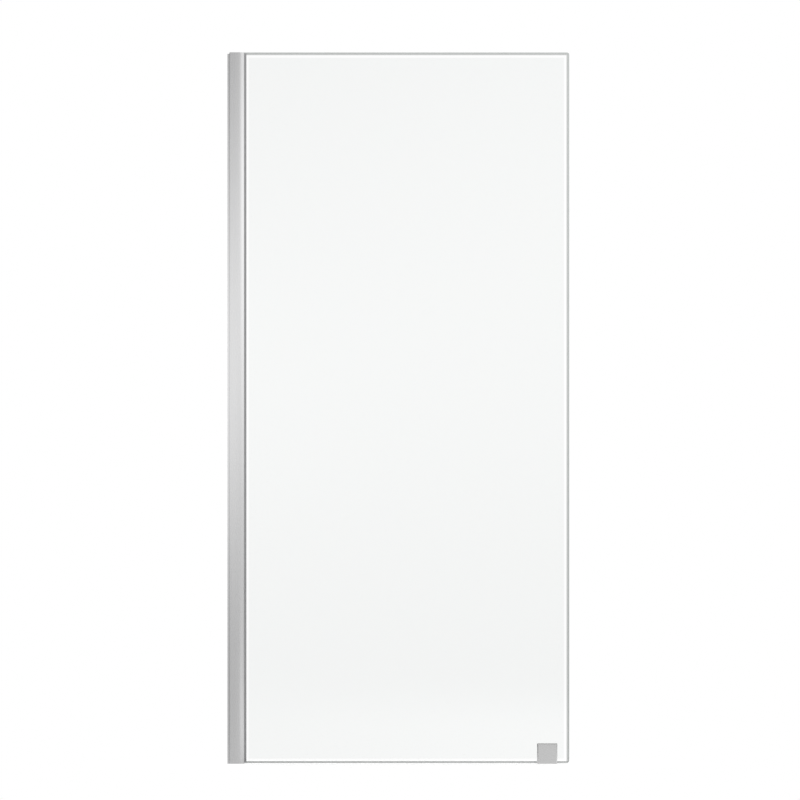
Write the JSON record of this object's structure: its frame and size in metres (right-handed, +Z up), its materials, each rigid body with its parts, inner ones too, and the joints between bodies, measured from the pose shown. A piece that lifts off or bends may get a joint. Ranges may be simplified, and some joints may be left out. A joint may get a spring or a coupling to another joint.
{
  "type": "fixed shower glass panel",
  "caption": "Tall frameless shower panel: clear toughened pane in a satin aluminium wall profile that adjusts in width, with a square floor clamp.",
  "frame": {"origin": "foot of the wall face, on the floor, in the middle plane of the glass", "axes": "+X from the wall to the free edge of the glass, -Y towards the front, +Z up"},
  "size_m": [0.913, 0.0343, 1.9],
  "materials": {
    "satin_aluminium": "satin anodised, fine vertical grain",
    "satin_steel": "fine brushed stainless steel",
    "steel": "plain stainless steel",
    "cap_plastic": "silver grey moulded plastic",
    "gasket_rubber": "dark grey extruded rubber",
    "pad_rubber": "grey sheet rubber",
    "packer_plastic": "white nylon",
    "clear_glass": "clear toughened glass with rounded polished edges"
  },
  "bodies": {
    "wall_side": {"wall_channel": "satin_aluminium", "locking_inserts": "steel", "locking_screws": "steel", "locking_washers": "steel", "locking_screw_caps": "cap_plastic"},
    "glass_side": {"glass_profile": "satin_aluminium", "profile_top_cap": "satin_aluminium", "top_cap_screw": "steel", "front_gasket": "gasket_rubber", "rear_gasket": "gasket_rubber", "edge_packers": "packer_plastic", "profile_setting_block": "packer_plastic", "glass_pane": "clear_glass", "clamp_rear_jaw": "satin_steel", "clamp_front_jaw": "satin_steel", "clamp_front_pad": "pad_rubber", "clamp_rear_pad": "pad_rubber", "clamp_screws": "steel", "clamp_spacers": "packer_plastic", "clamp_setting_pads": "packer_plastic"}
  },
  "joints": [
    {"name": "width_adjust", "type": "slide", "parent": "wall_side", "child": "glass_side", "axis": [1, 0, 0], "range_m": [-0.004, 0.016]}
  ]
}
